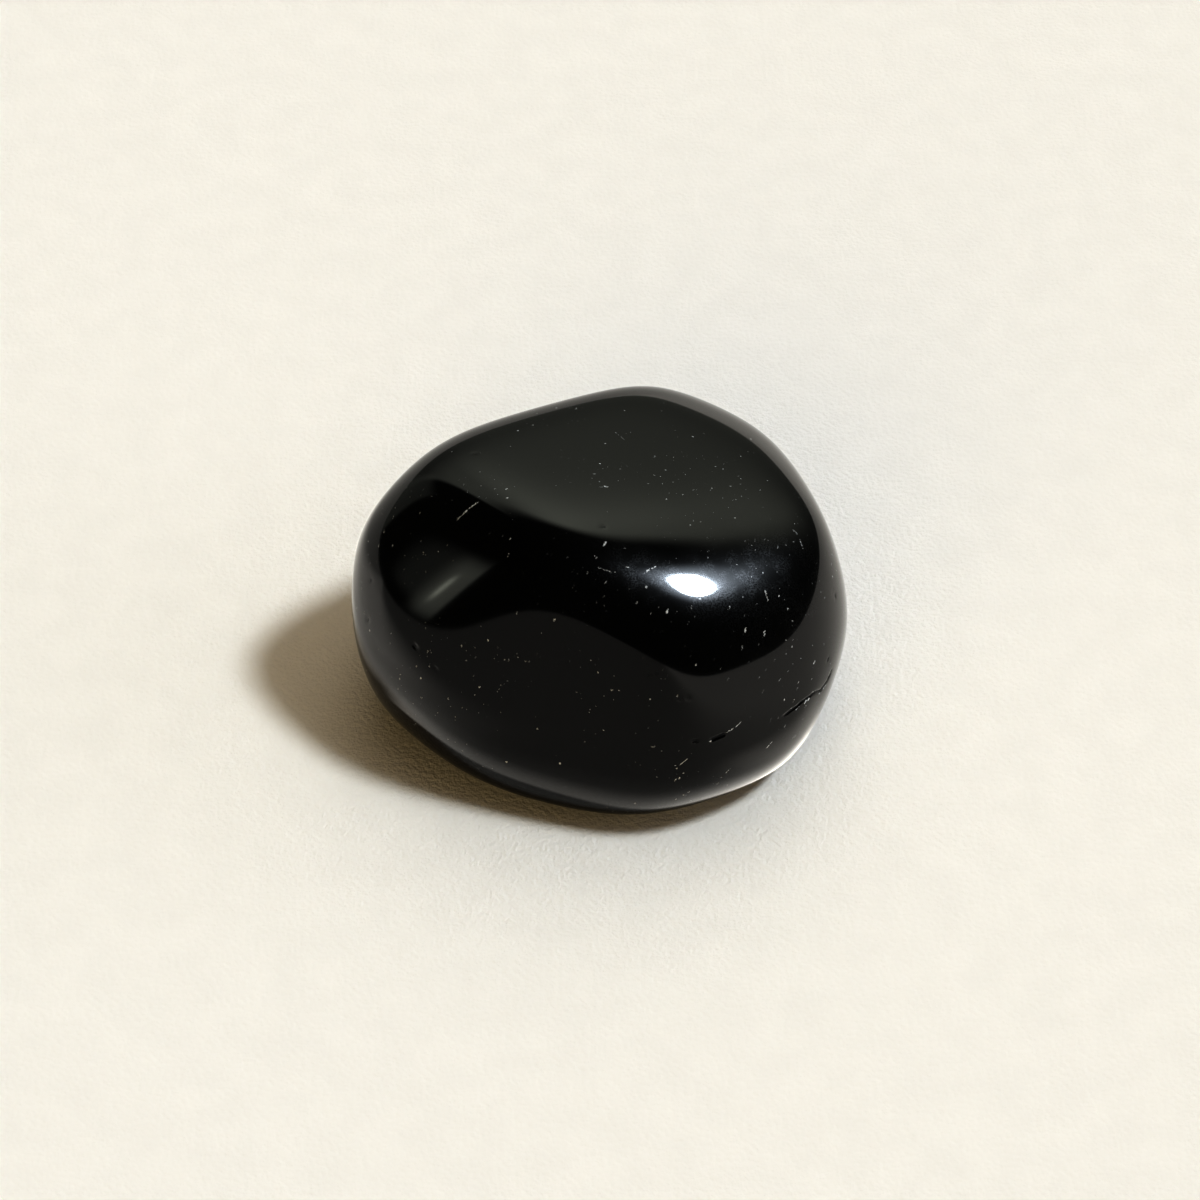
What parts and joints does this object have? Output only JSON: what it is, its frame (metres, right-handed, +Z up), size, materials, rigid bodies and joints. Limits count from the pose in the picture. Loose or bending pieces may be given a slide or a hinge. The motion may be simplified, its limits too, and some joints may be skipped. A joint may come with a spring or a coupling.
{
  "type": "obsidian stone",
  "caption": "Tumbled and polished chunk of black obsidian: a low rounded stone with a broad sloping top, a leaning front face, soft shoulders and a flat underside to rest on.",
  "frame": {"origin": "centre of the bounding box in plan, on the plane that the stone rests on", "axes": "+Z up from the resting face, +X towards the right end along the longest side, +Y towards the back, where the top slopes down to a blunt point"},
  "size_m": [0.032, 0.0318, 0.0189],
  "materials": {
    "obsidian": "polished"
  },
  "bodies": {
    "root": {"obsidian_stone": "obsidian"}
  },
  "joints": []
}
